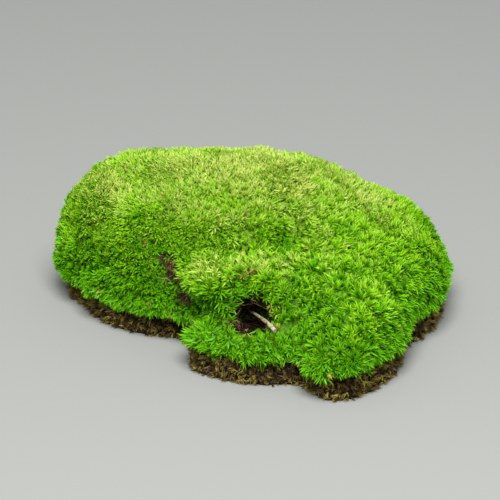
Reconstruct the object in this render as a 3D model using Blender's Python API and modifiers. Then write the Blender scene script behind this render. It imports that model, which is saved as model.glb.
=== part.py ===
"""A moss clump: one living cushion of moss, the thin humus mat it was lifted with, and a dead twig.

Metres, +Z up. Seen from the front, +X is to the right and +Y away. The origin is the middle of the
flat underside. The cushion is broad and steep at the back and left, falls away gently to the right,
and runs down to a tongue at the front. A small side lobe hangs over a hollow at its front left.
"""

import math

import bmesh
import bpy
from mathutils import Matrix, Vector, noise

MM = 0.001

# Overall size of the clump
WIDTH = 216 * MM
DEPTH = 194 * MM
HEIGHT = 88 * MM
MAT_THICKNESS = 13 * MM
TOUCH_GAP = 0.3 * MM

# Lobes that the cushion grew from, in mm and degrees: middle, half sizes, tilt to the front, turn
CROWN = ((-7, 33, 18), (89, 60, 68), 0, 0)
CROWN_LEFT = ((-36, 42, 18), (34, 46, 63), 0, 0)
LEFT_SHOULDER = ((-57, 52, 18), (53, 42, 60), 0, 0)
RIGHT_SHOULDER = ((49, 42, 13), (51, 48, 49), 0, 0)
RIGHT_FLANK = ((65, 12, 12), (36, 56, 38), 0, -25)
FRONT_SLOPE = ((36, 0, 20), (42, 66, 42), 16, -16)
TONGUE = ((49, -46, 8), (29, 52, 38), 10, -18)
LEFT_SLOPE = ((-58, 24, 12), (46, 34, 42), 0, -48)
SIDE_LOBE = ((-6, -22, 38), (35, 21, 14), 0, 4)
FRONT_LIP = ((-8, -51, 9), (36, 20, 16), 0, -22)
CUSHION_LOBES = (
    CROWN,
    CROWN_LEFT,
    LEFT_SHOULDER,
    RIGHT_SHOULDER,
    RIGHT_FLANK,
    FRONT_SLOPE,
    TONGUE,
    LEFT_SLOPE,
    SIDE_LOBE,
    FRONT_LIP,
)
LOBE_SEGMENTS = 48
LOBE_RINGS = 28

# Hollow under the side lobe, open upward to the front, the crease behind that lobe, and the crevice
# that parts its left end from the left slope
HOLLOW = ((-1.5, -38, 23), (11, 23, 11.5), -20, 0)
CREASE = ((-9, -17, 58), (31, 6, 11), 20, 4)
CREVICE = ((-46, -20, 34), (8.5, 8.5, 28), -40, 46)

# The mat's outline, as a share of the cushion's lobes in plan, and the height of its flat lobes
MAT_SHARE = 0.88
MAT_HALF_HEIGHT = 30

# Skin of the joined lobes
CUSHION_VOXEL = 4.4 * MM
MAT_VOXEL = 5.5 * MM
SMOOTHING_ROUNDS = 6
SMOOTHING_FACTOR = 0.5
SHARP_ANGLE = math.radians(50)

# Relief of the cushion: long folds, and pillows of shoots parted by furrows
FOLD_SPACING = 44 * MM
FOLD_HEIGHT = 4.0 * MM
FOLD_SHIFT = Vector((3.1, 0.4, 7.7))
PILLOW_SPACING = 19 * MM
PILLOW_HEIGHT = 3.2 * MM
FURROW_DISTANCE = 0.5

# Relief of the mat: coarse crumbs of humus with finer ones on them
CRUMB_SPACING = 11 * MM
CRUMB_HEIGHT = 1.8 * MM
FINE_CRUMB_SPACING = CRUMB_SPACING / 2.3
FINE_CRUMB_SHARE = 0.5
FINE_CRUMB_SHIFT = Vector((5.0, 1.0, 2.0))

# Twig: from its thick end over the lip to its thin end at the back of the hollow, slightly bowed
TWIG_FOOT = Vector((11.4, -65.1, 28.3)) * MM
TWIG_HEAD = Vector((-1.8, -21.3, 20.1)) * MM
TWIG_BOW = Vector((0.3, -2.9, 2.0)) * MM
TWIG_RADIUS = 1.2 * MM
TWIG_TAPER = 0.5
TWIG_POINTS = 9
TWIG_ROUNDNESS = 2
WELD_DISTANCE = 0.01 * MM

# Colour, roughness
MOSS_GREEN = ((0.155, 0.270, 0.022, 1.0), 0.85)
HUMUS_BROWN = ((0.042, 0.026, 0.012, 1.0), 0.95)
TWIG_TAN = ((0.42, 0.30, 0.19, 1.0), 0.75)


def clear_scene():
    for old in list(bpy.data.objects):
        bpy.data.objects.remove(old, do_unlink=True)


def new_collection(name):
    collection = bpy.data.collections.new(name)
    bpy.context.scene.collection.children.link(collection)
    return collection


def plain_material(name, finish):
    colour, roughness = finish
    material = bpy.data.materials.new(name)
    material.use_nodes = True
    shader = material.node_tree.nodes["Principled BSDF"]
    shader.inputs["Base Color"].default_value = colour
    shader.inputs["Roughness"].default_value = roughness
    shader.inputs["Metallic"].default_value = 0.0
    return material


def lobe_matrix(lobe, share):
    middle, half_sizes, tilt, turn = lobe
    place = Matrix.Translation(Vector(middle) * MM)
    turned = Matrix.Rotation(math.radians(turn), 4, "Z") @ Matrix.Rotation(math.radians(tilt), 4, "X")
    sizes = Vector((half_sizes[0] * share, half_sizes[1] * share, half_sizes[2])) * MM
    return place @ turned @ Matrix.Diagonal((*sizes, 1.0))


def lobes_object(name, lobes, share, collection):
    """Overlapping balls, one for each lobe, in a single object."""
    shape = bmesh.new()
    for lobe in lobes:
        bmesh.ops.create_uvsphere(
            shape,
            u_segments=LOBE_SEGMENTS,
            v_segments=LOBE_RINGS,
            radius=1.0,
            matrix=lobe_matrix(lobe, share),
        )
    mesh = bpy.data.meshes.new(name)
    shape.to_mesh(mesh)
    shape.free()
    item = bpy.data.objects.new(name, mesh)
    collection.objects.link(item)
    return item


def remeshed(item, voxel):
    skin = item.modifiers.new("One skin", "REMESH")
    skin.mode = "VOXEL"
    skin.voxel_size = voxel
    skin.adaptivity = 0.0


def softened(item):
    soft = item.modifiers.new("Soft creases", "SMOOTH")
    soft.factor = SMOOTHING_FACTOR
    soft.iterations = SMOOTHING_ROUNDS


def hollowed(item, name, lobe, cutters):
    """Cuts one ball-shaped hollow into the item."""
    cutter = lobes_object(name, (lobe,), 1.0, cutters)
    cutter.hide_render = True
    cutter.display_type = "WIRE"
    cut = item.modifiers.new(name, "BOOLEAN")
    cut.operation = "DIFFERENCE"
    cut.object = cutter


def applied(item):
    """Puts the item's modifiers into its mesh and returns that mesh as a bmesh."""
    graph = bpy.context.evaluated_depsgraph_get()
    made = bpy.data.meshes.new_from_object(item.evaluated_get(graph))
    item.modifiers.clear()
    shape = bmesh.new()
    shape.from_mesh(made)
    bpy.data.meshes.remove(made)
    return shape


def fit_matrix(shape):
    """Centres the shape over the origin and brings it to the clump's width, depth and height."""
    spans = []
    for axis in range(3):
        values = [vertex.co[axis] for vertex in shape.verts]
        spans.append((min(values), max(values)))
    (left, right), (front, back), (_, top) = spans
    centred = Matrix.Translation((-(left + right) / 2, -(front + back) / 2, 0.0))
    sizes = (WIDTH / (right - left), DEPTH / (back - front), HEIGHT / top)
    return Matrix.Diagonal((*sizes, 1.0)) @ centred


def raised(shape, relief):
    """Moves each vertex along its normal by the relief at its place."""
    shape.normal_update()
    for vertex in shape.verts:
        vertex.co += vertex.normal * relief(vertex.co.copy())


def cut_flat(shape, height, upward):
    """Cuts the shape level at a height, keeps the side above or below, and closes the cut."""
    bmesh.ops.bisect_plane(
        shape,
        geom=shape.verts[:] + shape.edges[:] + shape.faces[:],
        plane_co=(0.0, 0.0, height),
        plane_no=(0.0, 0.0, 1.0),
        clear_inner=upward,
        clear_outer=not upward,
    )
    rim = [edge for edge in shape.edges if edge.is_boundary]
    bmesh.ops.triangle_fill(shape, edges=rim, use_beauty=True)


def cushion_relief(place):
    fold = noise.noise(place / FOLD_SPACING + FOLD_SHIFT)
    distances, _ = noise.voronoi(place / PILLOW_SPACING)
    pillow = FURROW_DISTANCE - min(distances[0], 1.0)
    return FOLD_HEIGHT * fold + PILLOW_HEIGHT * pillow


def crumb_relief(place):
    coarse = noise.noise(place / CRUMB_SPACING)
    fine = noise.noise(place / FINE_CRUMB_SPACING + FINE_CRUMB_SHIFT)
    return CRUMB_HEIGHT * (coarse + FINE_CRUMB_SHARE * fine)


def finish(item, shape, material):
    bmesh.ops.triangulate(shape, faces=shape.faces)
    bmesh.ops.recalc_face_normals(shape, faces=shape.faces)
    shape.to_mesh(item.data)
    shape.free()
    item.data.materials.append(material)
    item.data.shade_smooth()
    item.data.set_sharp_from_angle(angle=SHARP_ANGLE)


def moss_cushion(parts, cutters, material):
    """The living cushion, cut flat where it meets the mat. Returns the matrix that fitted it."""
    item = lobes_object("moss_cushion", CUSHION_LOBES, 1.0, parts)
    remeshed(item, CUSHION_VOXEL)
    hollowed(item, "hollow", HOLLOW, cutters)
    hollowed(item, "crease", CREASE, cutters)
    hollowed(item, "crevice", CREVICE, cutters)
    remeshed(item, CUSHION_VOXEL)
    softened(item)
    shape = applied(item)
    raised(shape, cushion_relief)
    fitted = fit_matrix(shape)
    bmesh.ops.transform(shape, matrix=fitted, verts=shape.verts)
    cut_flat(shape, MAT_THICKNESS + TOUCH_GAP, upward=True)
    bmesh.ops.transform(shape, matrix=fit_matrix(shape), verts=shape.verts)
    finish(item, shape, material)
    return fitted


def humus_mat(parts, fitted, material):
    """The torn mat below, a little smaller than the cushion and flat on both sides."""
    flat_lobes = [
        ((place[0], place[1], 0), (sizes[0], sizes[1], MAT_HALF_HEIGHT), 0, turn)
        for place, sizes, _, turn in CUSHION_LOBES
    ]
    item = lobes_object("humus_mat", flat_lobes, MAT_SHARE, parts)
    remeshed(item, MAT_VOXEL)
    softened(item)
    shape = applied(item)
    bmesh.ops.transform(shape, matrix=fitted, verts=shape.verts)
    raised(shape, crumb_relief)
    cut_flat(shape, 0.0, upward=True)
    cut_flat(shape, MAT_THICKNESS, upward=False)
    finish(item, shape, material)


def twig_line():
    """A curve along the twig, thick at the foot and thin at the head."""
    curve = bpy.data.curves.new("twig_line", "CURVE")
    curve.dimensions = "3D"
    curve.bevel_depth = TWIG_RADIUS
    curve.bevel_resolution = TWIG_ROUNDNESS
    curve.use_fill_caps = True
    spline = curve.splines.new("POLY")
    spline.points.add(TWIG_POINTS - 1)
    for number, point in enumerate(spline.points):
        along = number / (TWIG_POINTS - 1)
        place = TWIG_FOOT.lerp(TWIG_HEAD, along) + TWIG_BOW * math.sin(math.pi * along)
        point.co = (*place, 1.0)
        point.radius = 1.0 - TWIG_TAPER * along
    return curve


def twig(parts, material):
    """The dead twig, with its end caps welded on."""
    line = bpy.data.objects.new("twig_line", twig_line())
    parts.objects.link(line)
    graph = bpy.context.evaluated_depsgraph_get()
    mesh = bpy.data.meshes.new_from_object(line.evaluated_get(graph))
    bpy.data.objects.remove(line)
    item = bpy.data.objects.new("twig", mesh)
    parts.objects.link(item)
    mesh.materials.clear()
    shape = bmesh.new()
    shape.from_mesh(mesh)
    bmesh.ops.remove_doubles(shape, verts=shape.verts, dist=WELD_DISTANCE)
    finish(item, shape, material)


def main():
    clear_scene()
    parts = new_collection("moss_clump")
    cutters = new_collection("cutters")
    fitted = moss_cushion(parts, cutters, plain_material("moss", MOSS_GREEN))
    humus_mat(parts, fitted, plain_material("humus", HUMUS_BROWN))
    twig(parts, plain_material("dead_wood", TWIG_TAN))


main()
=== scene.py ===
import math

import bmesh
import bpy
import numpy as np
from mathutils import Matrix, Vector, noise
from mathutils.bvhtree import BVHTree


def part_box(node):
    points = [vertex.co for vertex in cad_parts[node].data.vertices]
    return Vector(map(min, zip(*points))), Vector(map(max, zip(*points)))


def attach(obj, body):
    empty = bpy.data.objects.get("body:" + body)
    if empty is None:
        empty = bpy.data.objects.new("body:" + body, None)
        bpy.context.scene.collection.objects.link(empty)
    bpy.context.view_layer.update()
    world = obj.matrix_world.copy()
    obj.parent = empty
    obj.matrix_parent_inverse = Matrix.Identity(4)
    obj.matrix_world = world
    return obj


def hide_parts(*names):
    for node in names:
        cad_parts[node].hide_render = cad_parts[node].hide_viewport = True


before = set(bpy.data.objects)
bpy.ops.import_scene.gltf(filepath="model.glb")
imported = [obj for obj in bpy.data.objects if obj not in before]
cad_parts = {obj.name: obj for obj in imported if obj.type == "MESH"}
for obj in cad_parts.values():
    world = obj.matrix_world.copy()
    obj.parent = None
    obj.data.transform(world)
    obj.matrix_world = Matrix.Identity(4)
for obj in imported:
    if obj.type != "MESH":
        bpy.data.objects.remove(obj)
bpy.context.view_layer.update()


# ---------------------------------------------------------------------------------------------
# Humus mat. The thin mat that the clump was lifted with: leaf mould, old stems and soil crumbs
# that the rhizoids hold together. It was cut off flat below and torn along its edge.
# ---------------------------------------------------------------------------------------------

MM = 0.001
UP = Vector((0.0, 0.0, 1.0))
SEED = 11
SAME_PLACE = 0.01 * MM
CUT_REACH = 0.05 * MM
MAT_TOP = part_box("humus_mat")[1].z
MAT_CUT_HEIGHT = 0.4 * MM
MAT_SIDE_DEPTH = 2.6 * MM
MAT_LUMPS = ((7.0 * MM, 1.7 * MM), (2.6 * MM, 1.0 * MM))
CRUMB_COUNT = 1500
CRUMB_FORM_COUNT = 12
CRUMB_SIZES = (0.5 * MM, 1.7 * MM)
CRUMB_STRETCHES = ((0.7, 1.5), (0.6, 1.0), (0.5, 0.9))
CRUMB_LUMP_SPACING = 0.6
CRUMB_LUMP_HEIGHTS = (0.2, 0.5)
THREAD_WIDTHS = (0.55, 1.3)
THREAD_TAPER = 0.75
PATH_WANDER = 0.35
PATH_LOWEST = 0.5 * MM
NEXT_PLACE_LOWEST = 0.6 * MM
ROOTLET_COUNT = 900
ROOTLET_STEPS = 7
ROOTLET_STEP = 1.7 * MM
ROOTLET_RADIUS = 0.2 * MM
ROOTLET_SLOPES = (-0.8, 0.5)
ROOTLET_HEIGHTS_MM = (0.4, 1.8)
ROOTLET_ARCH = (0.1, 0.75)
ROOTLET_CLEARANCE = 0.1 * MM
rng = np.random.default_rng(SEED)


def merged_copy(node):
    """The node's surface as one skin, with its loose triangles joined."""
    shape = bmesh.new()
    shape.from_mesh(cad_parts[node].data)
    bmesh.ops.remove_doubles(shape, verts=shape.verts, dist=SAME_PLACE)
    shape.normal_update()
    return shape


def refined(shape, cuts):
    """Splits every edge of the shape, so that a fine form can be given to it."""
    bmesh.ops.subdivide_edges(shape, edges=shape.edges, cuts=cuts, use_grid_fill=True)
    bmesh.ops.triangulate(shape, faces=shape.faces)
    shape.normal_update()


def shrunk(shape, depth_at, cuts):
    """Moves each point in by its depth, and level where it lies on a flat cut at one of the heights."""
    for point in shape.verts:
        inward = point.normal.copy()
        if any(abs(point.co.z - height) < CUT_REACH for height in cuts):
            inward.z = 0.0
            inward.normalize()
        point.co -= inward * depth_at(point)
    shape.normal_update()


def layered_noise(place, *layers):
    """The sum of the noise layers at a place, each a spacing and a height."""
    return sum(height * noise.noise(place / spacing) for spacing, height in layers)


def roughened(shape, layers, still=lambda place: False):
    """Moves each point along its normal by the noise layers, apart from the places that stay still."""
    for point in shape.verts:
        if not still(point.co):
            point.co += point.normal * layered_noise(point.co, *layers)
    shape.normal_update()


def made_piece(name, mesh, material, nodes):
    """Puts a finished mesh in the scene as a piece of the clump."""
    item = bpy.data.objects.new(name, mesh)
    bpy.context.scene.collection.objects.link(item)
    mesh.materials.append(material)
    mesh.shade_smooth()
    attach(item, "root")
    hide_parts(*nodes)


def mesh_of(name, shape):
    """The shape as a mesh of that name."""
    mesh = bpy.data.meshes.new(name)
    shape.to_mesh(mesh)
    shape.free()
    return mesh


class Pattern:
    """A value or colour that varies over a surface, held as the socket that gives it."""

    def __init__(self, socket):
        self.socket = socket

    def node(self, kind, settings=None, sockets=None, output=0):
        """Adds a node: its settings are set first, then the values or links of its sockets."""
        tree = self.socket.id_data
        made = tree.nodes.new(kind)
        for setting, value in (settings or {}).items():
            if setting == "stops":
                made.color_ramp.elements[0].position, made.color_ramp.elements[0].color = value[0]
                made.color_ramp.elements[1].position, made.color_ramp.elements[1].color = value[-1]
                for place, colour in value[1:-1]:
                    made.color_ramp.elements.new(place).color = colour
            else:
                setattr(made, setting, value)
        for socket, value in (sockets or {}).items():
            if isinstance(value, Pattern):
                tree.links.new(value.socket, made.inputs[socket])
            else:
                made.inputs[socket].default_value = value
        return Pattern(made.outputs[output])

    def ramp(self, *stops):
        """The colour along the stops, each a place from 0 to 1 and a colour."""
        return self.node("ShaderNodeValToRGB", {"stops": stops}, {0: self})

    def step(self, low, high):
        """0 below the low value, 1 above the high one, and smooth between."""
        settings = {"interpolation_type": "SMOOTHSTEP", "clamp": True}
        return self.node("ShaderNodeMapRange", settings, {0: self, 1: low, 2: high})

    def between(self, first, second):
        """The first colour where this is 0, and the second where it is 1: sockets 6 and 7."""
        return self.node("ShaderNodeMix", {"data_type": "RGBA"}, {0: self, 6: first, 7: second}, 2)

    def grain(self, spacing, detail):
        """Noise of that spacing, fixed to the piece's own coordinates."""
        place = self.node("ShaderNodeTexCoord", output=3)
        sockets = {"Vector": place, "Scale": 1 / spacing, "Detail": detail}
        return self.node("ShaderNodeTexNoise", {}, sockets)

    def place(self, axis):
        """The piece's own coordinate along an axis, in metres: 0 is x, 1 is y and 2 is z."""
        return self.node("ShaderNodeSeparateXYZ", {}, {0: self.node("ShaderNodeTexCoord", output=3)}, axis)

    def bump(self, depth):
        """The normal of a surface that rises by the depth where this goes from 0 to 1."""
        return self.node("ShaderNodeBump", {}, {"Height": self, "Distance": depth})


def new_material(name, values):
    """A material with one Principled shader and its uniform values."""
    material = bpy.data.materials.new(name)
    material.use_nodes = True
    shader = material.node_tree.nodes["Principled BSDF"]
    for socket, value in values.items():
        shader.inputs[socket].default_value = value
    return material, shader


def feed(shader, **patterns):
    """Links patterns to the shader's sockets, an underscore standing for a space."""
    for socket, pattern in patterns.items():
        shader.id_data.links.new(pattern.socket, shader.inputs[socket.replace("_", " ")])


def humus_material():
    material, shader = new_material("humus", {"Roughness": 0.95, "Specular IOR Level": 0.15})
    start = Pattern(shader.inputs["Base Color"])
    crumbs = start.grain(2.2 * MM, 6.0)
    colour = crumbs.ramp(
        (0.32, (0.005, 0.003, 0.002, 1)),
        (0.50, (0.024, 0.013, 0.006, 1)),
        (0.62, (0.070, 0.038, 0.017, 1)),
        (0.76, (0.200, 0.125, 0.060, 1)),
    )
    feed(shader, Base_Color=colour, Normal=crumbs.bump(1.2 * MM))
    return material


def rootlet_material():
    material, shader = new_material("rootlets", {"Roughness": 0.8, "Specular IOR Level": 0.3})
    start = Pattern(shader.inputs["Base Color"])
    colour = start.grain(5.0 * MM, 3.0).ramp(
        (0.35, (0.022, 0.011, 0.005, 1)),
        (0.52, (0.095, 0.050, 0.021, 1)),
        (0.68, (0.330, 0.215, 0.110, 1)),
    )
    feed(shader, Base_Color=colour)
    return material


def places_on(faces, count):
    """Random places spread evenly over faces of three corners, with the skin's normal at each."""
    areas = np.array([face.calc_area() for face in faces])
    picks = rng.choice(len(faces), size=count, p=areas / areas.sum())
    shares = np.sort(rng.random((count, 2)), axis=1)
    for pick, (first, second) in zip(picks, shares):
        weights = (first, second - first, 1.0 - second)
        points = faces[pick].verts
        place = sum((point.co * weight for point, weight in zip(points, weights)), Vector())
        normal = sum((point.normal * weight for point, weight in zip(points, weights)), Vector())
        yield place, normal.normalized()


def crumb_form():
    """One crumb of soil at the origin, about one unit across: its corners and triangles."""
    shape = bmesh.new()
    bmesh.ops.create_icosphere(shape, subdivisions=1, radius=0.5)
    stretch = Vector([rng.uniform(least, most) for least, most in CRUMB_STRETCHES])
    bmesh.ops.scale(shape, verts=shape.verts, vec=stretch)
    roughened(shape, ((CRUMB_LUMP_SPACING, rng.uniform(*CRUMB_LUMP_HEIGHTS)),))
    shape.verts.index_update()
    corners = np.array([point.co for point in shape.verts])
    triangles = np.array([[point.index for point in face.verts] for face in shape.faces])
    shape.free()
    return corners, triangles, None


def joined_mesh(name, copies, half_width=0.0):
    """Turned and placed copies of small forms as one mesh, and the tint of each leaf on its map.

    No corner goes below the flat cut that the clump rests on.
    """
    corners, triangles, places_on_map = [], [], []
    count = 0
    for turned, middle, (form, form_triangles, on_form), tint in copies:
        corners.append(form @ turned.T + middle)
        triangles.append(form_triangles + count)
        if on_form is not None:
            on_map = on_form.copy()
            on_map[:, :, 1] = tint + on_form[:, :, 1] * half_width
            places_on_map.append(on_map)
        count += len(form)
    corners, triangles = np.concatenate(corners), np.concatenate(triangles)
    corners[:, 2] = np.maximum(corners[:, 2], 0.0)
    mesh = bpy.data.meshes.new(name)
    mesh.vertices.add(len(corners))
    mesh.vertices.foreach_set("co", corners.ravel())
    mesh.loops.add(triangles.size)
    mesh.loops.foreach_set("vertex_index", triangles.ravel().astype(np.int32))
    mesh.polygons.add(len(triangles))
    mesh.polygons.foreach_set("loop_start", np.arange(0, triangles.size, 3, dtype=np.int32))
    if places_on_map:
        bake_map = mesh.uv_layers.new(name="OFBake")
        bake_map.data.foreach_set("uv", np.concatenate(places_on_map).ravel())
    mesh.update(calc_edges=True)
    return mesh


def turned_to(axis, angle):
    """The turn that stands a form up along the axis and then spins it by the angle."""
    return axis.to_track_quat("Z", "Y").to_matrix() @ Matrix.Rotation(angle, 3, "Z")


def threads(name, paths, radius):
    """Round threads along paths, each a list of places, drawn out thin at their ends."""
    curve = bpy.data.curves.new(name, "CURVE")
    curve.dimensions = "3D"
    curve.bevel_depth = 1.0
    curve.bevel_resolution = 0
    for path in paths:
        spline = curve.splines.new("POLY")
        spline.points.add(len(path) - 1)
        thick = radius * rng.uniform(*THREAD_WIDTHS)
        for point, place, along in zip(spline.points, path, np.linspace(0.0, 1.0, len(path))):
            point.co = (*place, 1.0)
            point.radius = thick * (1.0 - THREAD_TAPER * along)
    drawn = bpy.data.objects.new(name, curve)
    mesh = bpy.data.meshes.new_from_object(drawn)
    bpy.data.objects.remove(drawn)
    mesh.name = name
    return mesh


def arch(along, span):
    """The height of an arch of height 1 and width 1, at a share of the span: a start and a width."""
    return math.sin(math.pi * (span[0] + span[1] * along))


def creeping_path(tree, place, heading, steps, length, lift):
    """A path that wanders over a skin from a place, held off it by the lift along the way."""
    path = []
    for step in range(steps):
        on_skin, normal, _, _ = tree.find_nearest(place)
        path.append(on_skin + normal * lift(step / (steps - 1)))
        path[-1].z = max(path[-1].z, PATH_LOWEST)
        heading = heading + Vector(rng.normal(0.0, PATH_WANDER, 3))
        heading = (heading - normal * heading.dot(normal)).normalized()
        place = on_skin + heading * length
        place.z = max(place.z, NEXT_PLACE_LOWEST)
    return path


mat_skin = merged_copy("humus_mat")
mat = mat_skin.copy()
shrunk(mat, lambda point: MAT_SIDE_DEPTH, (0.0, MAT_TOP))
refined(mat, cuts=2)
roughened(mat, MAT_LUMPS, still=lambda place: place.z < MAT_CUT_HEIGHT)
for point in mat.verts:
    point.co.z = max(point.co.z, 0.0)
mat_tree = BVHTree.FromBMesh(mat)
mat_sides = [face for face in mat.faces if face.calc_center_median().z > MAT_CUT_HEIGHT]
mat_places = list(places_on(mat_sides, CRUMB_COUNT + ROOTLET_COUNT))
humus = humus_material()
made_piece("leaf_mould", mesh_of("leaf_mould", mat), humus, ["humus_mat"])

crumb_forms = [crumb_form() for _ in range(CRUMB_FORM_COUNT)]
crumbs = []
for place, _ in mat_places[:CRUMB_COUNT]:
    size = CRUMB_SIZES[0] + (CRUMB_SIZES[1] - CRUMB_SIZES[0]) * rng.random() ** 2
    turned = np.array(turned_to(Vector(rng.normal(0.0, 1.0, 3)), rng.uniform(0.0, math.tau))) * size
    place.z = max(place.z, size)
    crumbs.append((turned, np.array(place), crumb_forms[int(rng.integers(CRUMB_FORM_COUNT))], 0.0))
made_piece("soil_crumbs", joined_mesh("soil_crumbs", crumbs), humus, ["humus_mat"])

rootlets = []
for place, normal in mat_places[CRUMB_COUNT:]:
    heading = normal.cross(UP) * rng.choice((-1.0, 1.0)) + UP * rng.uniform(*ROOTLET_SLOPES)
    height = rng.uniform(*ROOTLET_HEIGHTS_MM) * MM
    rise = lambda along: height * arch(along, ROOTLET_ARCH) + ROOTLET_CLEARANCE
    rootlets.append(creeping_path(mat_tree, place, heading, ROOTLET_STEPS, ROOTLET_STEP, rise))
rootlet_mesh = threads("rootlets", rootlets, ROOTLET_RADIUS)
made_piece("rootlets", rootlet_mesh, rootlet_material(), ["humus_mat"])


# ---------------------------------------------------------------------------------------------
# Old growth. Below the living tips the cushion is a tight mass of last year's stems, dark green
# turning brown towards the mat and wherever little light reaches: dead stems there, and a painted
# shade that darkens the recesses. The shoots stand in it.
# ---------------------------------------------------------------------------------------------

GOLDEN_TURN = math.pi * (3.0 - math.sqrt(5.0))
SHADE_RAYS = 40
SHADE_REACH = 16 * MM
RAY_START = 0.5 * MM
RAY_GRAZING = 0.15
OLD_DEPTH = 3.4 * MM
OLD_DEPTH_LEAST = 0.25
OLD_DEPTH_BY_LIGHT = 1.4
OLD_SETTLING = 0.7
OLD_LUMPS = ((3.4 * MM, 0.8 * MM), (9 * MM, 0.5 * MM))
TUFT_SPACING = 9.0 * MM
SEAM_WIDTH = 0.35
SEAM_DEPTH = 2.4 * MM
SEAM_ON_SIDES = 1.25
SEAM_LOSS_ON_TOP = 0.80
OPEN_LINE = 10 * MM
OPEN_SLANT = 0.5
OPEN_FADE = 60 * MM
DIP_SPACING = 6.0 * MM
DIP_START = 0.10
DIP_FADE = 0.25
DIP_DEPTH = 2.8 * MM
DIP_WHERE_CLOSE = 0.5
BARE_RIM = (4 * MM, 0.5)
BARE_SPOTS = (
    ((-46 * MM, -15 * MM, 45 * MM), 8 * MM),
    ((-42 * MM, -19 * MM, 38 * MM), 8 * MM),
    ((-37.5 * MM, -22.5 * MM, 30 * MM), 7 * MM),
)
# Pits sink the shoots, and darken their tint there as painted shade.
PIT_STRENGTH = 1.5
PIT_SPOTS = (
    ((-60 * MM, 4 * MM, 65 * MM), 9 * MM),
    ((-57 * MM, -7 * MM, 56 * MM), 7 * MM),
    ((-49 * MM, -12 * MM, 51 * MM), 8 * MM),
    ((15 * MM, -17 * MM, 57 * MM), 9 * MM),
    ((29 * MM, -36 * MM, 53 * MM), 7 * MM),
    ((43 * MM, -7 * MM, 63 * MM), 5 * MM),
    ((-31 * MM, -36 * MM, 35 * MM), 8 * MM),
    ((19 * MM, -60 * MM, 30 * MM), 6 * MM),
    ((17 * MM, -50 * MM, 37 * MM), 6 * MM),
    ((53 * MM, -12 * MM, 58 * MM), 6 * MM),
    ((36 * MM, -40 * MM, 52 * MM), 5 * MM),
)
SUNK_SPOTS = (
    ((37 * MM, 40 * MM, 81 * MM), 22 * MM),
    ((87 * MM, 42 * MM, 51 * MM), 15 * MM),
)
SUNK_DEPTH = 3.6 * MM
FULL_SPOTS = (
    ((-91 * MM, 53 * MM, 62 * MM), 28 * MM),
)
FULL_RISE = 2.6 * MM

cushion = merged_copy("moss_cushion")
cushion_tree = BVHTree.FromBMesh(cushion)


def even_directions(count):
    """Directions spread evenly over a ball."""
    for number in range(count):
        z = 1.0 - (2.0 * number + 1.0) / count
        ring = math.sqrt(1.0 - z * z)
        turn = GOLDEN_TURN * number
        yield Vector((ring * math.cos(turn), ring * math.sin(turn), z))


rays = list(even_directions(SHADE_RAYS))


def daylight(place, normal):
    """The share of the half ball over a place that no other moss covers within reach."""
    start = place + normal * RAY_START
    open_rays = facing = 0
    for ray in rays:
        if ray.dot(normal) < RAY_GRAZING:
            continue
        facing += 1
        if cushion_tree.ray_cast(start, ray, SHADE_REACH)[0] is None:
            open_rays += 1
    return open_rays / facing


def share(value):
    """The value, held between 0 and 1."""
    return min(1.0, max(0.0, value))


def nearness(place, spots):
    """1 in the middle of a spot, falling to 0 at its radius and beyond."""
    return max(max(0.0, 1.0 - (place - Vector(middle)).length / radius) for middle, radius in spots)


def bareness(place):
    """Above 0 where the moss has died back in the crevice, with a ragged rim."""
    near = nearness(place, BARE_SPOTS)
    return near + layered_noise(place, BARE_RIM) if near > 0.0 else 0.0


def seam(place):
    """1 in the seam between two tufts of shoots, and 0 inside a tuft."""
    distances, _ = noise.voronoi(place / TUFT_SPACING)
    return 1.0 - min(1.0, (distances[1] - distances[0]) / SEAM_WIDTH)


def dip(place):
    """1 in the middle of a small dip among the shoots, and 0 outside the dips."""
    chance_dip = (noise.noise(place / DIP_SPACING) - DIP_START) / DIP_FADE
    return share(max(chance_dip, PIT_STRENGTH * nearness(place, PIT_SPOTS)))


def openness(place):
    """0 where the shoots stand tight, as on the crown, and 1 on the damp front, where they are open."""
    return share((OPEN_LINE - place.y + OPEN_SLANT * place.x) / OPEN_FADE)


def settling(place, normal):
    """How far the living surface lies below the cushion's outline."""
    in_seam = SEAM_DEPTH * seam(place) * (SEAM_ON_SIDES - SEAM_LOSS_ON_TOP * max(0.0, normal.z))
    sunk = SUNK_DEPTH * nearness(place, SUNK_SPOTS) ** 0.5
    full = FULL_RISE * nearness(place, FULL_SPOTS) ** 0.5
    in_dip = DIP_DEPTH * dip(place) * (DIP_WHERE_CLOSE + (1.0 - DIP_WHERE_CLOSE) * openness(place))
    return in_seam + (sunk - full) + in_dip


def old_growth_material():
    material, shader = new_material("old_growth", {"Roughness": 0.9, "Specular IOR Level": 0.25})
    start = Pattern(shader.inputs["Base Color"])
    stems = start.grain(1.6 * MM, 3.0)
    green = stems.ramp(
        (0.30, (0.034, 0.100, 0.003, 1)),
        (0.55, (0.090, 0.240, 0.005, 1)),
        (0.75, (0.160, 0.360, 0.010, 1)),
    )
    crest = stems.ramp(
        (0.30, (0.140, 0.240, 0.015, 1)),
        (0.55, (0.300, 0.460, 0.035, 1)),
        (0.75, (0.480, 0.620, 0.080, 1)),
    )
    brown = stems.ramp(
        (0.30, (0.016, 0.010, 0.004, 1)),
        (0.55, (0.060, 0.036, 0.014, 1)),
        (0.75, (0.160, 0.096, 0.038, 1)),
    )
    light = start.node("ShaderNodeAttribute", {"attribute_name": "daylight"}, output=2)
    living = start.place(2).step(40 * MM, 84 * MM).between(green, crest)
    # Dead stems and painted shade: the less daylight reaches a point, the darker and browner it is.
    colour = light.step(0.35, 0.75).between(brown, living)
    feed(shader, Base_Color=colour, Normal=stems.bump(1.5 * MM))
    return material


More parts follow.
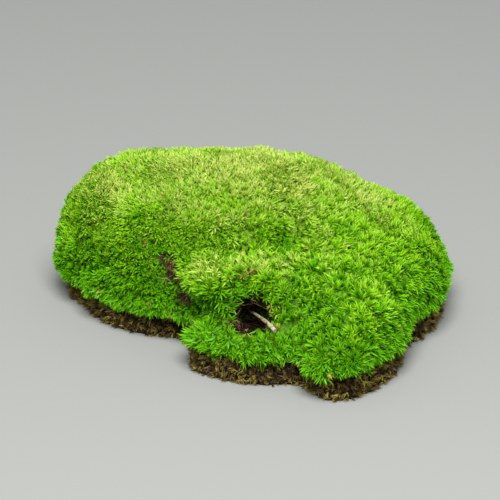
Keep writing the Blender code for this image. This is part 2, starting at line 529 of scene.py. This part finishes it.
def old_growth_mesh():
    """The cushion's skin let in below the shoots, with the daylight at each point for its colour."""
    shape = cushion.copy()
    light = shape.verts.layers.float.new("daylight")
    for point in shape.verts:
        # In the bare crevice the stems are dark brown: died back, and painted shade of the gap beside the
        # lobe.
        point[light] = daylight(point.co, point.normal) * (1.0 - nearness(point.co, BARE_SPOTS) ** 0.5)
    lowest = min(point.co.z for point in shape.verts)

    def depth_at(point):
        by_light = (1.0 - OLD_DEPTH_LEAST) * min(1.0, point[light] * OLD_DEPTH_BY_LIGHT)
        return OLD_DEPTH * (OLD_DEPTH_LEAST + by_light) + OLD_SETTLING * settling(point.co, point.normal)

    shrunk(shape, depth_at, (lowest,))
    refined(shape, cuts=1)
    roughened(shape, OLD_LUMPS, still=lambda place: place.z < lowest + SAME_PLACE)
    return mesh_of("old_growth", shape)


made_piece("old_growth", old_growth_mesh(), old_growth_material(), ["moss_cushion"])


# ---------------------------------------------------------------------------------------------
# Shoots. Thousands of leafy shoots stand side by side and end in one surface. Each is a whorl of
# narrow pointed leaves, swept to one side, pale at the tips and dark at their feet, partly painted
# shade where they crowd together.
# ---------------------------------------------------------------------------------------------

SHOOT_TRIES = 260000
SHOOTS_BELOW_MAT_TOP = 1.2 * MM
CLOSE_SPACING = 1.75 * MM
OPEN_SPACING = 3.0 * MM
FORM_COUNT = 10

# The leaf's taper and lean run from its foot to its tip. The pairs after them are the value at a
# shoot's lowest leaf and the change from there to its topmost leaf.
LEAF_STEPS = 2
LEAF_TAPER = (0.8, 0.95, 0.0)
LEAF_LEAN = (0.6, 0.8)
LEAF_FOOT = (-0.95, 0.45)
LEAF_FOOT_SCALE = 0.95
LEAF_LENGTH = (1.05, -0.35)
LEAF_WIDTH = (1.0, -0.3)
LEAF_LENGTH_CHANCE = (0.85, 1.12)
LEAF_SWEEP_CHANCE = (0.5, 1.3)
LEAF_TURN_CHANCE = 0.3
LEAF_SPREAD_CHANCE = 9
LEAF_ROLL_CHANCE = 0.8
SAME_TIP = 1e-6
MAP_HALF_WIDTH = 0.004

# The hollow, an egg tilted about x with a ragged rim. A shoot lives by limits of light, bareness
# and dark that each are a value and the most that chance adds to it.
DARK_MIDDLE = Vector((-2.0, -38.0, 23.0)) * MM
DARK_HALF_SIZES = Vector((11.0, 22.5, 11.5)) * MM
DARK_TILT = math.radians(-20)
DARK_RIM = ((6 * MM, 0.45), (2.5 * MM, 0.25))
DARK_END = 1.24
DARK_FADE = 0.30
LIVING_LIGHT = (0.24, 0.1)
LIVING_BARE = (0.15, 0.45)
LIVING_DARK = (0.3, 0.7)
DEAD_STANDING = (0.6, 0.4)
DEAD_TINTS = (0.02, 0.12)
DEAD_TINT_LOSS = 0.05
DEAD_DROP = 0.8 * MM

# How a shoot stands.
DRIFT_SEED = 5
AXIS_BY_NORMAL = 0.8
AXIS_UP = 0.30
AXIS_DOWN_AT_EDGE = 0.75
AXIS_DRIFT_SPACING = 22 * MM
AXIS_DRIFT_SHIFT = 3.0
AXIS_DRIFT = 0.35
AXIS_CHANCE = 0.10
SWEEP_DRIFT_SPACING = 30 * MM
SWEEP_DRIFT_SHIFT = 7.0
SWEEP_CHANCE = 0.7
EDGE_HEIGHT = 14 * MM
OPEN_AT_EDGE = 0.3
SHOOT_SIZES = (0.85, 1.18)
SHOOT_DROPS_MM = (-0.25, 0.30)

# The tint of a living shoot: more is paler. Part of it is painted light and shade: paler where
# shoots face up, darker in seams, dips, the bare crevice and where less daylight reaches.
LIVING_TINT_START = 0.2
LIVING_TINT_RANGE = 0.76
TINT_START = 0.10
TINT_BY_HEIGHT = 0.70
TINT_HEIGHT_START = 40 * MM
TINT_HEIGHT_RANGE = 48 * MM
PAINTED_LIGHT_UPWARD = 0.2
TINT_LOSS_AT_BACK = 0.10
TINT_BACK_START = 26 * MM
TINT_BACK_FADE = 18 * MM
TINT_LOSS_AT_RIGHT = 0.06
TINT_RIGHT_START = 66 * MM
TINT_RIGHT_FADE = 20 * MM
TINT_BLEACHED = 0.34
TINT_DEEP = 0.22
TINT_PATCHES = (17 * MM, 0.18)
TINT_MOTTLE = 0.50
TINT_MOTTLE_IF_OPEN = 0.25
TINT_MOTTLE_SPACING = 6 * MM
SEAM_PAINTED_SHADE = 0.14
DIP_PAINTED_SHADE = 0.45
PAINTED_SHADE_OUT_OF_DAYLIGHT = 0.6
TINT_FULL_LIGHT = 0.8
BARE_AND_PAINTED_SHADE = 0.6
TINT_CHANCE_MIDDLE = 0.08
TINT_CHANCE = 0.05
TINT_CHANCE_IF_OPEN = 0.04

# Spots that are paler, deeper green, dry, or hang over the hollow, and the bounds of the pieces.
BLEACHED_SPOTS = (
    ((-31 * MM, -28 * MM, 46 * MM), 9 * MM),
    ((-19 * MM, -30 * MM, 50 * MM), 10 * MM),
    ((-7 * MM, -31 * MM, 51.5 * MM), 10 * MM),
    ((5 * MM, -32 * MM, 52 * MM), 10 * MM),
    ((16 * MM, -31 * MM, 53 * MM), 9 * MM),
    ((92 * MM, 26 * MM, 46 * MM), 17 * MM),
    ((68 * MM, 38 * MM, 64 * MM), 28 * MM),
    ((-96 * MM, 34 * MM, 56 * MM), 35 * MM),
    ((25 * MM, 9 * MM, 79 * MM), 10 * MM),
    ((15 * MM, -48 * MM, 34 * MM), 6 * MM),
)
DEEP_SPOTS = (
    ((38 * MM, -58 * MM, 42 * MM), 24 * MM),
    ((12 * MM, -14 * MM, 58 * MM), 18 * MM),
    ((-12 * MM, -43 * MM, 38 * MM), 17 * MM),
    ((18 * MM, -53 * MM, 35 * MM), 12 * MM),
)
DRY_SPOTS = (
    ((1.3 * MM, -37 * MM, 49 * MM), 7 * MM),
    ((28.6 * MM, -22.6 * MM, 58 * MM), 4 * MM),
    ((28.4 * MM, -40 * MM, 50.5 * MM), 4 * MM),
    ((-56.4 * MM, -7 * MM, 56 * MM), 5 * MM),
    ((-72 * MM, 6.8 * MM, 56.2 * MM), 3.5 * MM),
    ((96 * MM, 8 * MM, 36 * MM), 6 * MM),
    ((14 * MM, -58 * MM, 27 * MM), 6 * MM),
)
DRY_ANYWHERE = 0.005
DRY_IN_SPOT = 0.9
DRY_IF_HANGING = 1.3
DRY_TINTS = (0.13, 0.172)
HANGING_SPOTS = (
    ((10 * MM, -47 * MM, 30 * MM), 10 * MM),
)
HANGING_LEAST = 0.15
HANGING_WAY = Vector((-1.3, -0.8, 0.1))
HANGING_REACH = 4.5 * MM
FRONT_LINE = -24 * MM
LEFT_LINE = -46 * MM
RIGHT_LINE = 44 * MM
BACK_LINE = 36 * MM


def leaf_blade(shape, foot, turn, spread, length, width, sweep, roll):
    """Adds one leaf: a narrow strip that leans out from the stem and curves, drawn to a point."""
    along_layer = shape.loops.layers.uv["leaf"]
    made = bmesh.ops.create_grid(shape, x_segments=1, y_segments=LEAF_STEPS, size=0.5)
    points = made["verts"]
    outward = Vector((math.cos(turn), math.sin(turn), 0.0))
    across = UP.cross(outward)
    middle = Vector((0.0, 0.0, foot))
    rows = []
    for step in range(LEAF_STEPS + 1):
        along = step / LEAF_STEPS
        lean = spread * (LEAF_LEAN[0] + LEAF_LEAN[1] * along)
        heading = outward * math.sin(lean) + UP * math.cos(lean)
        side = (across * math.cos(roll) + heading.cross(across) * math.sin(roll)).normalized()
        swept = middle + Vector((sweep * along * along, 0.0, 0.0))
        rows.append((swept, side * width * LEAF_TAPER[step]))
        middle = middle + heading * (length / LEAF_STEPS)
    for face in {face for point in points for face in point.link_faces}:
        for loop in face.loops:
            loop[along_layer].uv = (loop.vert.co.y + 0.5, loop.vert.co.x * 2.0)
    for point in points:
        place, side = rows[round((point.co.y + 0.5) * LEAF_STEPS)]
        point.co = place + side * point.co.x
    end = rows[-1][0]
    tip = [point for point in points if (point.co - end).length < SAME_TIP]
    bmesh.ops.pointmerge(shape, verts=tip, merge_co=end)


def shoot_form(leaves, spread, length, width, sweep):
    """One shoot with its tip at the origin: corners, triangles, and each corner's place on its leaf."""
    shape = bmesh.new()
    shape.loops.layers.uv.new("leaf")
    for number in range(leaves):
        up = number / (leaves - 1)
        lean = spread[0] + (spread[1] - spread[0]) * up
        leaf_blade(
            shape,
            foot=(LEAF_FOOT[0] + LEAF_FOOT[1] * up) * length * LEAF_FOOT_SCALE,
            turn=number * GOLDEN_TURN + rng.uniform(-LEAF_TURN_CHANCE, LEAF_TURN_CHANCE),
            spread=math.radians(lean + rng.uniform(-LEAF_SPREAD_CHANCE, LEAF_SPREAD_CHANCE)),
            length=length * (LEAF_LENGTH[0] + LEAF_LENGTH[1] * up) * rng.uniform(*LEAF_LENGTH_CHANCE),
            width=width * (LEAF_WIDTH[0] + LEAF_WIDTH[1] * up),
            sweep=sweep * rng.uniform(*LEAF_SWEEP_CHANCE),
            roll=rng.uniform(-LEAF_ROLL_CHANCE, LEAF_ROLL_CHANCE),
        )
    bmesh.ops.triangulate(shape, faces=shape.faces)
    layer = shape.loops.layers.uv["leaf"]
    shape.verts.index_update()
    corners = np.array([point.co for point in shape.verts])
    triangles = np.array([[loop.vert.index for loop in face.loops] for face in shape.faces])
    on_leaf = np.array([[loop[layer].uv[:] for loop in face.loops] for face in shape.faces])
    shape.free()
    return corners, triangles, on_leaf


close_shoots = [shoot_form(14, (46, 6), 4.1 * MM, 0.96 * MM, 1.1 * MM) for _ in range(FORM_COUNT)]
open_shoots = [shoot_form(20, (74, 8), 5.8 * MM, 1.15 * MM, 1.8 * MM) for _ in range(FORM_COUNT)]
dead_shoots = [shoot_form(9, (35, 8), 4.6 * MM, 0.7 * MM, 1.8 * MM) for _ in range(FORM_COUNT)]


def inside_hollow(place):
    """1 on the dark walls of the hollow, falling to 0 outside its ragged rim."""
    offset = Matrix.Rotation(-DARK_TILT, 3, "X") @ (place - DARK_MIDDLE)
    reach = Vector([value / half for value, half in zip(offset, DARK_HALF_SIZES)]).length
    return share((DARK_END - (reach + layered_noise(place, *DARK_RIM))) / DARK_FADE)


def spaced_places(faces, tries, spacing_at):
    """Places over the faces, none nearer to an earlier one than the spacing there.

    The cells that they are sorted into are as wide as the widest spacing.
    """
    taken = {}
    for place, normal in places_on(faces, tries):
        spacing = spacing_at(place)
        cell = tuple(int(math.floor(value / OPEN_SPACING)) for value in place)
        near = (
            other
            for x in (-1, 0, 1)
            for y in (-1, 0, 1)
            for z in (-1, 0, 1)
            for other in taken.get((cell[0] + x, cell[1] + y, cell[2] + z), ())
        )
        if any((place - other).length < spacing for other in near):
            continue
        taken.setdefault(cell, []).append(place)
        yield place, normal


noise.seed_set(DRIFT_SEED)


def drift(place, spacing, shift):
    """A vector that changes slowly from place to place, the same in each run by the seed above."""
    return noise.noise_vector(place / spacing + Vector((shift, -shift, 2.0 * shift)))


def tint_at(place, normal, light):
    """Where a living shoot lies between deep green, 0.2, and bleached yellow-green, 0.96."""
    tint = TINT_START + TINT_BY_HEIGHT * (place.z - TINT_HEIGHT_START) / TINT_HEIGHT_RANGE
    # Painted light: shoots that face up are paler, as if lit from above.
    tint = tint + PAINTED_LIGHT_UPWARD * normal.z
    tint = tint - TINT_LOSS_AT_BACK * share((place.y - TINT_BACK_START) / TINT_BACK_FADE)
    tint = tint - TINT_LOSS_AT_RIGHT * share((place.x - TINT_RIGHT_START) / TINT_RIGHT_FADE)
    tint = tint + TINT_BLEACHED * nearness(place, BLEACHED_SPOTS) ** 0.5
    tint = tint - TINT_DEEP * nearness(place, DEEP_SPOTS)
    tint = tint + layered_noise(place, TINT_PATCHES)
    mottle = TINT_MOTTLE + TINT_MOTTLE_IF_OPEN * openness(place)
    tint = tint + layered_noise(place, (TINT_MOTTLE_SPACING, mottle))
    # Painted shade: darker in the seams between tufts and in the dips and pits.
    tint = tint - SEAM_PAINTED_SHADE * seam(place) - DIP_PAINTED_SHADE * dip(place)
    # Painted shade: darker where less daylight reaches.
    tint = tint - PAINTED_SHADE_OUT_OF_DAYLIGHT * (TINT_FULL_LIGHT - min(light, TINT_FULL_LIGHT))
    # Darker in the bare crevice: the moss has died back, and it is painted shade of that gap.
    tint = tint - BARE_AND_PAINTED_SHADE * nearness(place, BARE_SPOTS)
    tint = tint + rng.normal(TINT_CHANCE_MIDDLE, TINT_CHANCE + TINT_CHANCE_IF_OPEN * openness(place))
    return LIVING_TINT_START + LIVING_TINT_RANGE * share(tint)


def lives(place, light, bare):
    """Whether a shoot is alive: not too dark, not in the bare crevice and not inside the hollow."""
    return (
        light > LIVING_LIGHT[0] + LIVING_LIGHT[1] * rng.random()
        and bare < LIVING_BARE[0] + LIVING_BARE[1] * rng.random() ** 2
        and inside_hollow(place) < LIVING_DARK[0] + LIVING_DARK[1] * rng.random()
    )


def shoot_at(place, normal):
    """How one shoot stands: its turn, its middle, its form and its tint, or None where none grows."""
    light = daylight(place, normal)
    bare = bareness(place)
    hanging = nearness(place, HANGING_SPOTS)
    living = lives(place, light, bare) or hanging > HANGING_LEAST
    if not living and rng.random() > DEAD_STANDING[0] + DEAD_STANDING[1] * min(1.0, bare):
        return None
    low = max(0.0, 1.0 - (place.z - MAT_TOP) / EDGE_HEIGHT)
    axis = normal * AXIS_BY_NORMAL + UP * (AXIS_UP - AXIS_DOWN_AT_EDGE * low)
    axis = axis + drift(place, AXIS_DRIFT_SPACING, AXIS_DRIFT_SHIFT) * AXIS_DRIFT
    axis = axis + HANGING_WAY * hanging + Vector(rng.normal(0.0, AXIS_CHANCE, 3))
    axis.normalize()
    size = rng.uniform(*SHOOT_SIZES)
    drop = settling(place, normal) + rng.uniform(*SHOOT_DROPS_MM) * (1.0 + openness(place)) * MM
    drop = drop - HANGING_REACH * hanging
    swept = drift(place, SWEEP_DRIFT_SPACING, SWEEP_DRIFT_SHIFT)
    angle = math.atan2(swept.y, swept.x) + rng.normal(0.0, SWEEP_CHANCE)
    if not living:
        # Dead shoots are browner in the bare crevice, partly as painted shade of that gap.
        tint = rng.uniform(DEAD_TINTS[0], DEAD_TINTS[1] - DEAD_TINT_LOSS * min(1.0, bare))
        forms = dead_shoots
        drop = drop + DEAD_DROP
    elif rng.random() < DRY_ANYWHERE + DRY_IN_SPOT * nearness(place, DRY_SPOTS) + DRY_IF_HANGING * hanging:
        tint = rng.uniform(*DRY_TINTS)
        forms = open_shoots if hanging else close_shoots
    else:
        tint = tint_at(place, normal, light)
        forms = open_shoots if rng.random() < openness(place) + OPEN_AT_EDGE * low else close_shoots
    form = forms[int(rng.integers(FORM_COUNT))]
    return np.array(turned_to(axis, angle)) * size, np.array(place - axis * drop), form, tint


def leaf_material():
    """On the leaves' map, U runs from a leaf's foot to its tip, and V is its shoot's tint."""
    material, shader = new_material("moss_leaf", {"Roughness": 0.5, "Specular IOR Level": 0.18})
    start = Pattern(shader.inputs["Base Color"])
    on_map = start.node("ShaderNodeUVMap", {"uv_map": "OFBake"})
    along = start.node("ShaderNodeSeparateXYZ", {}, {0: on_map}, 0)
    tint = start.node("ShaderNodeSeparateXYZ", {}, {0: on_map}, 1)
    # Each ramp darkens towards the leaf's foot, partly painted shade of the crowded whorl. The pale ramp's
    # tip is darker than its middle, painted shade that tones down the rim seen edge-on.
    deep = along.ramp(
        (0.0, (0.034, 0.150, 0.001, 1)),
        (0.5, (0.090, 0.350, 0.001, 1)),
        (1.0, (0.190, 0.580, 0.003, 1)),
    )
    fresh = along.ramp(
        (0.0, (0.180, 0.400, 0.004, 1)),
        (0.5, (0.280, 0.615, 0.005, 1)),
        (1.0, (0.340, 0.640, 0.020, 1)),
    )
    pale = along.ramp(
        (0.0, (0.640, 0.780, 0.100, 1)),
        (0.5, (0.715, 0.860, 0.155, 1)),
        (1.0, (0.430, 0.485, 0.140, 1)),
    )
    brown = along.ramp(
        (0.0, (0.012, 0.007, 0.003, 1)),
        (1.0, (0.120, 0.070, 0.030, 1)),
    )
    straw = along.ramp(
        (0.0, (0.190, 0.140, 0.018, 1)),
        (1.0, (0.640, 0.520, 0.110, 1)),
    )
    living = tint.step(0.48, 1.0).between(tint.step(0.15, 0.52).between(deep, fresh), pale)
    dead = tint.step(0.02, 0.12).between(brown, straw)
    colour = tint.step(0.135, 0.18).between(dead, living)
    feed(shader, Base_Color=colour)
    return material


def region(place):
    """The name of the shoots' piece that a place belongs to."""
    if place.y < FRONT_LINE:
        return "front_shoots"
    if place.x < LEFT_LINE:
        return "left_shoots"
    if place.x > RIGHT_LINE:
        return "right_shoots"
    return "crown_shoots" if place.y < BACK_LINE else "back_shoots"


shoots = {}
lowest_shoot = MAT_TOP - SHOOTS_BELOW_MAT_TOP
above_mat = [face for face in cushion.faces if face.calc_center_median().z > lowest_shoot]
shoot_spacing = lambda place: CLOSE_SPACING + (OPEN_SPACING - CLOSE_SPACING) * openness(place)
for place, normal in spaced_places(above_mat, SHOOT_TRIES, shoot_spacing):
    shoot = shoot_at(place, normal)
    if shoot is not None:
        shoots.setdefault(region(place), []).append(shoot)
moss_leaf = leaf_material()
for name in sorted(shoots):
    mesh = joined_mesh(name, shoots[name], MAP_HALF_WIDTH)
    made_piece(name, mesh, moss_leaf, ["moss_cushion"])


# ---------------------------------------------------------------------------------------------
# Torn edge. Round the mat stick the dead lower ends of the shoots, brown and straw coloured, and
# a few living shoots creep down over them and hide where the mat and the cushion meet.
# ---------------------------------------------------------------------------------------------

EDGE_TRIES = 30000
EDGE_SPACING = 1.9 * MM
EDGE_STEEPNESS = 0.8
EDGE_SLOPES = (-0.5, 0.3)
EDGE_AXIS_CHANCE = 0.22
EDGE_DEPTHS_MM = (-0.2, 1.6)
EDGE_LOWEST = 1.0 * MM
EDGE_SIZES = (0.8, 1.2)
EDGE_TINTS = (0.02, 0.10)
CREEPING_TINTS = (0.20, 0.42)
CREEPING_HEIGHT = 9.5 * MM
CREEPING_SHARE = 0.6
CREEPING_PATCHES = (12 * MM, 1.2)


def edge_shoot(place, normal):
    """How one shoot of the mat's edge stands, dead or creeping."""
    outward = Vector((normal.x, normal.y, 0.0)).normalized()
    axis = outward + UP * rng.uniform(*EDGE_SLOPES) + Vector(rng.normal(0.0, EDGE_AXIS_CHANCE, 3))
    axis.normalize()
    patch = CREEPING_SHARE + layered_noise(place, CREEPING_PATCHES)
    creeping = rng.random() < patch * (place.z - CREEPING_HEIGHT) / (MAT_TOP - CREEPING_HEIGHT)
    tint = rng.uniform(*(CREEPING_TINTS if creeping else EDGE_TINTS))
    forms = close_shoots if creeping else dead_shoots
    middle = place - axis * rng.uniform(*EDGE_DEPTHS_MM) * MM
    middle.z = max(middle.z, EDGE_LOWEST)
    turned = np.array(turned_to(axis, rng.uniform(0.0, math.tau))) * rng.uniform(*EDGE_SIZES)
    return turned, np.array(middle), forms[int(rng.integers(FORM_COUNT))], tint


edge_faces = [face for face in mat_skin.faces if face.normal.z > -EDGE_STEEPNESS]
edge_shoots = []
for place, normal in spaced_places(edge_faces, EDGE_TRIES, lambda place: EDGE_SPACING):
    if normal.z < EDGE_STEEPNESS:
        edge_shoots.append(edge_shoot(place, normal))
edge_mesh = joined_mesh("edge_shoots", edge_shoots, MAP_HALF_WIDTH)
made_piece("edge_shoots", edge_mesh, moss_leaf, ["humus_mat"])


# ---------------------------------------------------------------------------------------------
# Dead stems. In the hollow and in the crevice beside the side lobe no shoot lives. Old stems lie
# there in a tangle, grey brown to straw, and a few dry needles have fallen on the living tips.
# ---------------------------------------------------------------------------------------------

STEM_TRIES = 24000
STEM_STEPS = 6
STEM_STEP = 1.9 * MM
STEM_RADIUS = 0.18 * MM
STEM_ARCH = (0.15, 0.7)
HOLLOW_STEMS = 70
HOLLOW_LEAST = 0.6
HOLLOW_LIFTS_MM = (0.4, 3.0)
CREVICE_STEMS = 12
CREVICE_LEAST = 0.3
CREVICE_LIFTS_MM = (0.2, 1.6)
NEEDLES = 9
NEEDLE_STEPS = 3
NEEDLE_LIFT = -0.6 * MM
NEEDLE_HEIGHT = 36 * MM
NEEDLE_LIGHT = 0.8


def stem_material():
    material, shader = new_material("dead_stems", {"Roughness": 0.75, "Specular IOR Level": 0.3})
    start = Pattern(shader.inputs["Base Color"])
    colour = start.grain(6.0 * MM, 3.0).ramp(
        (0.34, (0.050, 0.026, 0.012, 1)),
        (0.50, (0.190, 0.110, 0.055, 1)),
        (0.66, (0.480, 0.350, 0.220, 1)),
    )
    feed(shader, Base_Color=colour)
    return material


def lying_stem(place, steps, lift):
    """A stem's path over the cushion's outline from a place, above it by at most the lift, or below."""
    heading = Vector(rng.normal(0.0, 1.0, 3))
    rise = lambda along: lift * arch(along, STEM_ARCH)
    return creeping_path(cushion_tree, place, heading, steps, STEM_STEP, rise)


tried = [place for place, _ in places_on(above_mat, STEM_TRIES)]
in_hollow = [place for place in tried if inside_hollow(place) > HOLLOW_LEAST]
in_crevice = [place for place in tried if nearness(place, BARE_SPOTS) > CREVICE_LEAST]
high_up = [place for place in tried if place.z > NEEDLE_HEIGHT]
on_tips = [place for place in high_up if daylight(place, UP) > NEEDLE_LIGHT]
stems = [
    lying_stem(place, STEM_STEPS, rng.uniform(*HOLLOW_LIFTS_MM) * MM)
    for place in in_hollow[:HOLLOW_STEMS]
]
stems += [
    lying_stem(place, STEM_STEPS, rng.uniform(*CREVICE_LIFTS_MM) * MM)
    for place in in_crevice[:CREVICE_STEMS]
]
stems += [lying_stem(place, NEEDLE_STEPS, NEEDLE_LIFT) for place in on_tips[:NEEDLES]]
stem_mesh = threads("dead_stems", stems, STEM_RADIUS)
made_piece("dead_stems", stem_mesh, stem_material(), ["moss_cushion"])


# ---------------------------------------------------------------------------------------------
# Twig. A short dead twig that fell into the hollow and lies over its rim: weathered bark, ridged
# along its length, with both ends broken off rough.
# ---------------------------------------------------------------------------------------------

TWIG_FOOT = Vector((11.4, -65.1, 28.3)) * MM
TWIG_HEAD = Vector((-1.8, -21.3, 20.1)) * MM
TWIG_EASING = 0.5
BARK_RIDGE = (0.75 * MM, 0.20 * MM)
BARK_RIDGE_SQUEEZE = 0.85
BARK_KNOT = (3.4 * MM, 0.22 * MM)
BREAK_EDGE = 0.3 * MM
BREAK_REACH = 1.0 * MM
BREAK_SPACING = 0.6 * MM


def bark_material():
    material, shader = new_material("dead_wood", {"Roughness": 0.72, "Specular IOR Level": 0.3})
    start = Pattern(shader.inputs["Base Color"])
    bark = start.grain(1.1 * MM, 5.0)
    patches = start.grain(6.0 * MM, 2.0)
    pale = bark.ramp((0.32, (0.36, 0.26, 0.18, 1)), (0.68, (0.82, 0.68, 0.53, 1)))
    brown = bark.ramp((0.32, (0.14, 0.080, 0.045, 1)), (0.68, (0.48, 0.34, 0.23, 1)))
    colour = patches.step(0.42, 0.62).between(pale, brown)
    feed(shader, Base_Color=colour, Normal=bark.bump(0.3 * MM))
    return material


def twig_mesh():
    """The twig's solid with its edges eased, its bark ridged and knotted, and its ends broken."""
    shape = merged_copy("twig")
    refined(shape, cuts=3)
    every_axis = {"use_axis_x": True, "use_axis_y": True, "use_axis_z": True}
    bmesh.ops.smooth_vert(shape, verts=shape.verts, factor=TWIG_EASING, **every_axis)
    shape.normal_update()
    axis = (TWIG_FOOT - TWIG_HEAD).normalized()
    length = (TWIG_FOOT - TWIG_HEAD).length
    for point in shape.verts:
        along = (point.co - TWIG_HEAD).dot(axis)
        squeezed = point.co - axis * along * BARK_RIDGE_SQUEEZE
        lift = layered_noise(squeezed, BARK_RIDGE)
        lift += layered_noise(Vector((along, 0.0, 0.0)), BARK_KNOT)
        point.co += point.normal * lift
        if min(along, length - along) < BREAK_EDGE:
            outward = -axis if along < length / 2 else axis
            point.co += outward * BREAK_REACH * noise.noise(point.co / BREAK_SPACING)
    shape.normal_update()
    return mesh_of("dead_twig", shape)


made_piece("dead_twig", twig_mesh(), bark_material(), ["twig"])


# ---------------------------------------------------------------------------------------------
# Floor, light and camera. A pale floor, and soft daylight from high in front and all round. The
# camera looks from the photo's angle and distance, and its view is 190 of the photo's pixels wide.
# ---------------------------------------------------------------------------------------------

FLOOR_SIZE = 14.0
FLOOR_LOOK = {"Base Color": (0.34, 0.34, 0.335, 1), "Roughness": 0.9}
AIM = Vector((-0.0014, 0.013, 0.0401))
LAMP_PLACE = Vector((0.0, -1.0, 1.7))
LAMP_SIZE = 1.3
LAMP_WATTS = 58.5
LAMP_COLOUR = (0.98, 1.0, 0.97)
SKY_COLOUR = (0.97, 1.0, 0.97, 1)
SKY_STRENGTH = 0.4
CAMERA_ELEVATION = math.radians(22.7)
CAMERA_DISTANCE = 1.933
SENSOR_WIDTH = 36.0
FOCAL_PIXELS = 1387
VIEW_PIXELS = 190

floor_shape = bmesh.new()
bmesh.ops.create_grid(floor_shape, x_segments=1, y_segments=1, size=FLOOR_SIZE / 2)
floor = bpy.data.objects.new("floor", mesh_of("floor", floor_shape))
bpy.context.scene.collection.objects.link(floor)
floor_material, _ = new_material("floor", FLOOR_LOOK)
floor.data.materials.append(floor_material)

lamp = bpy.data.objects.new("sky_high", bpy.data.lights.new("sky_high", "AREA"))
bpy.context.scene.collection.objects.link(lamp)
lamp.data.shape = "DISK"
lamp.data.size = LAMP_SIZE
lamp.data.energy = LAMP_WATTS
lamp.data.color = LAMP_COLOUR
lamp.location = LAMP_PLACE
lamp.rotation_mode = "QUATERNION"
lamp.rotation_quaternion = (LAMP_PLACE - AIM).to_track_quat("Z", "Y")

world = bpy.data.worlds.new("pale_sky")
bpy.context.scene.world = world
world.use_nodes = True
world.node_tree.nodes["Background"].inputs["Color"].default_value = SKY_COLOUR
world.node_tree.nodes["Background"].inputs["Strength"].default_value = SKY_STRENGTH
bpy.context.scene.view_settings.view_transform = "Standard"

camera = bpy.data.objects.new("camera", bpy.data.cameras.new("camera"))
bpy.context.scene.collection.objects.link(camera)
camera.data.sensor_width = SENSOR_WIDTH
camera.data.lens = SENSOR_WIDTH * FOCAL_PIXELS / VIEW_PIXELS
towards = Vector((0.0, -math.cos(CAMERA_ELEVATION), math.sin(CAMERA_ELEVATION)))
camera.location = AIM + towards * CAMERA_DISTANCE
camera.rotation_mode = "QUATERNION"
camera.rotation_quaternion = towards.to_track_quat("Z", "Y")
bpy.context.scene.camera = camera
